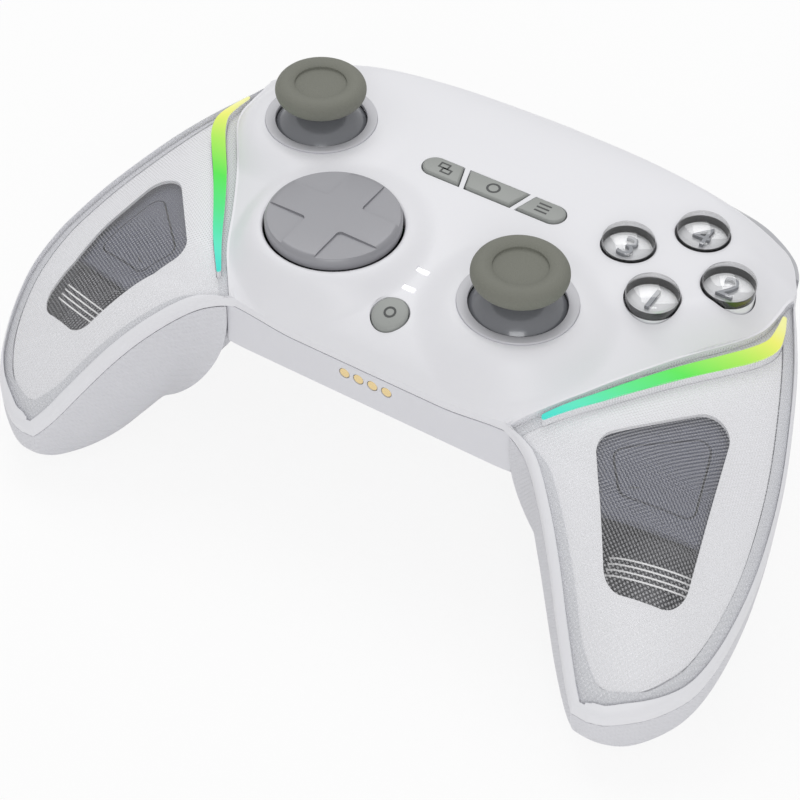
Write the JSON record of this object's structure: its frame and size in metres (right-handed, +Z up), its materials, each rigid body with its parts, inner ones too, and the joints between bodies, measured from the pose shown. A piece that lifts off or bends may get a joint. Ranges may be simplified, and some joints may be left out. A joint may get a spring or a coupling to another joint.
{
  "type": "gamepad controller",
  "caption": "Handheld gamepad with two tilting sticks, a round direction pad, clear face buttons, menu buttons, bumpers, triggers and clear-covered grips with glowing strips.",
  "frame": {"origin": "centre of the footprint at table level, under the resting grips", "axes": "+X to the player's right, +Y away from the player toward the triggers, +Z up out of the face"},
  "size_m": [0.156, 0.101, 0.0589],
  "materials": {
    "shell_white": "fine matte moulded face",
    "shell_grey": "fine matte moulded back",
    "grip_grey": "diagonal grip texture",
    "cover_clear": "clear with a fine dot texture",
    "liner_white": "smooth painted",
    "light_glow": "milky light guide, glows cyan to green to yellow",
    "chassis_grey": "satin moulded",
    "motor_steel": "satin drawn can",
    "ring_grey": "satin",
    "cap_rubber": "fine grained",
    "stem_grey": "glossy metallic paint",
    "inner_grey": "plain moulded",
    "dpad_satin": "satin metallic paint",
    "button_clear": "crystal clear",
    "menu_grey": "satin",
    "bumper_gloss": "glossy",
    "trigger_grey": "fine matte",
    "steel": "plain",
    "membrane_rubber": "silicone",
    "board_green": "solder mask",
    "battery_wrap": "foil wrap",
    "contact_gold": "plated"
  },
  "bodies": {
    "base": {"front_shell": "shell_white", "rear_shell": "shell_grey", "left_rear_grip": "grip_grey", "right_rear_grip": "grip_grey", "left_grip_cover": "cover_clear", "right_grip_cover": "cover_clear", "left_grip_liner": "liner_white", "right_grip_liner": "liner_white", "left_light_guide": "light_glow", "right_light_guide": "light_glow", "left_chassis": "chassis_grey", "right_chassis": "chassis_grey", "left_motor": "motor_steel", "right_motor": "motor_steel", "left_stick_ring": "ring_grey", "right_stick_ring": "ring_grey", "left_stick_housing": "inner_grey", "right_stick_housing": "inner_grey", "dpad_frame": "inner_grey", "left_trigger_pin": "steel", "right_trigger_pin": "steel", "left_trigger_spring": "steel", "right_trigger_spring": "steel", "left_trigger_bracket": "inner_grey", "right_trigger_bracket": "inner_grey", "membrane": "membrane_rubber", "button_board": "board_green", "main_board": "board_green", "battery": "battery_wrap", "usb_inlet": "steel", "charging_contacts": "contact_gold", "indicator_pipe": "light_glow", "shell_screws": "steel"},
    "left_press": {"left_stick_carriage": "inner_grey"},
    "left_gimbal": {"left_stick_gimbal": "inner_grey"},
    "left_stick": {"left_stick_stem": "stem_grey", "left_stick_cap": "cap_rubber"},
    "right_press": {"right_stick_carriage": "inner_grey"},
    "right_gimbal": {"right_stick_gimbal": "inner_grey"},
    "right_stick": {"right_stick_stem": "stem_grey", "right_stick_cap": "cap_rubber"},
    "dpad_rocker": {"dpad_rocker": "inner_grey"},
    "dpad": {"dpad_disc": "dpad_satin"},
    "south": {"south_button": "button_clear"},
    "east": {"east_button": "button_clear"},
    "west": {"west_button": "button_clear"},
    "north": {"north_button": "button_clear"},
    "view": {"view_button": "menu_grey"},
    "home": {"home_button": "menu_grey"},
    "menu": {"menu_button": "menu_grey"},
    "macro": {"macro_button": "menu_grey"},
    "left_bumper": {"left_bumper": "bumper_gloss"},
    "left_trigger": {"left_trigger": "trigger_grey"},
    "left_rear_macro": {"left_rear_button": "menu_grey"},
    "left_weight": {"left_motor_weight": "motor_steel"},
    "right_bumper": {"right_bumper": "bumper_gloss"},
    "right_trigger": {"right_trigger": "trigger_grey"},
    "right_rear_macro": {"right_rear_button": "menu_grey"},
    "right_weight": {"right_motor_weight": "motor_steel"}
  },
  "joints": [
    {"name": "left_stick_press", "type": "slide", "parent": "base", "child": "left_press", "axis": [0, 0, -1], "range_m": [0, 0.0008], "stiffness_N_per_m": 3000},
    {"name": "left_stick_pitch", "type": "hinge", "parent": "left_press", "child": "left_gimbal", "pos_m": [-0.0389, 0.02, 0.042], "axis": [1, 0, 0], "range_deg": [-16, 16], "stiffness_Nm_per_rad": 0.06},
    {"name": "left_stick_roll", "type": "hinge", "parent": "left_gimbal", "child": "left_stick", "pos_m": [-0.0389, 0.02, 0.042], "axis": [0, 1, 0], "range_deg": [-16, 16], "stiffness_Nm_per_rad": 0.06},
    {"name": "right_stick_press", "type": "slide", "parent": "base", "child": "right_press", "axis": [0, 0, -1], "range_m": [0, 0.0008], "stiffness_N_per_m": 3000},
    {"name": "right_stick_pitch", "type": "hinge", "parent": "right_press", "child": "right_gimbal", "pos_m": [0.0196, -0.0046, 0.042], "axis": [1, 0, 0], "range_deg": [-16, 16], "stiffness_Nm_per_rad": 0.06},
    {"name": "right_stick_roll", "type": "hinge", "parent": "right_gimbal", "child": "right_stick", "pos_m": [0.0196, -0.0046, 0.042], "axis": [0, 1, 0], "range_deg": [-16, 16], "stiffness_Nm_per_rad": 0.06},
    {"name": "dpad_up_down", "type": "hinge", "parent": "base", "child": "dpad_rocker", "pos_m": [-0.0196, -0.0046, 0.046], "axis": [1, 0, 0], "range_deg": [-3.5, 3.5], "stiffness_Nm_per_rad": 0.12},
    {"name": "dpad_left_right", "type": "hinge", "parent": "dpad_rocker", "child": "dpad", "pos_m": [-0.0196, -0.0046, 0.046], "axis": [0, 1, 0], "range_deg": [-3.5, 3.5], "stiffness_Nm_per_rad": 0.12},
    {"name": "south_press", "type": "slide", "parent": "base", "child": "south", "axis": [0, 0, -1], "range_m": [0, 0.0012], "stiffness_N_per_m": 500},
    {"name": "east_press", "type": "slide", "parent": "base", "child": "east", "axis": [0, 0, -1], "range_m": [0, 0.0012], "stiffness_N_per_m": 500},
    {"name": "west_press", "type": "slide", "parent": "base", "child": "west", "axis": [0, 0, -1], "range_m": [0, 0.0012], "stiffness_N_per_m": 500},
    {"name": "north_press", "type": "slide", "parent": "base", "child": "north", "axis": [0, 0, -1], "range_m": [0, 0.0012], "stiffness_N_per_m": 500},
    {"name": "view_press", "type": "slide", "parent": "base", "child": "view", "axis": [0, 0, -1], "range_m": [0, 0.0007], "stiffness_N_per_m": 600},
    {"name": "home_press", "type": "slide", "parent": "base", "child": "home", "axis": [0, 0, -1], "range_m": [0, 0.0007], "stiffness_N_per_m": 600},
    {"name": "menu_press", "type": "slide", "parent": "base", "child": "menu", "axis": [0, 0, -1], "range_m": [0, 0.0007], "stiffness_N_per_m": 600},
    {"name": "macro_press", "type": "slide", "parent": "base", "child": "macro", "axis": [0, 0, -1], "range_m": [0, 0.0007], "stiffness_N_per_m": 600},
    {"name": "left_bumper_click", "type": "hinge", "parent": "base", "child": "left_bumper", "pos_m": [-0.0314, 0.043, 0.041], "axis": [0, 0, 1], "range_deg": [0, 2.5], "stiffness_Nm_per_rad": 0.4},
    {"name": "left_trigger_pull", "type": "hinge", "parent": "base", "child": "left_trigger", "pos_m": [-0.0415, 0.0395, 0.0325], "axis": [1, 0, 0], "range_deg": [-14, 0], "stiffness_Nm_per_rad": 0.25},
    {"name": "left_rear_press", "type": "slide", "parent": "base", "child": "left_rear_macro", "axis": [0, 0, 1], "range_m": [0, 0.0008], "stiffness_N_per_m": 800},
    {"name": "left_weight_spin", "type": "hinge", "parent": "base", "child": "left_weight", "pos_m": [-0.061, -0.0265, 0.0215], "axis": [-0.1744, -0.8204, -0.5446], "continuous": true},
    {"name": "right_bumper_click", "type": "hinge", "parent": "base", "child": "right_bumper", "pos_m": [0.0314, 0.043, 0.041], "axis": [0, 0, 1], "range_deg": [-2.5, 0], "stiffness_Nm_per_rad": 0.4},
    {"name": "right_trigger_pull", "type": "hinge", "parent": "base", "child": "right_trigger", "pos_m": [0.0415, 0.0395, 0.0325], "axis": [1, 0, 0], "range_deg": [-14, 0], "stiffness_Nm_per_rad": 0.25},
    {"name": "right_rear_press", "type": "slide", "parent": "base", "child": "right_rear_macro", "axis": [0, 0, 1], "range_m": [0, 0.0008], "stiffness_N_per_m": 800},
    {"name": "right_weight_spin", "type": "hinge", "parent": "base", "child": "right_weight", "pos_m": [0.061, -0.0265, 0.0215], "axis": [0.1744, -0.8204, -0.5446], "continuous": true}
  ]
}
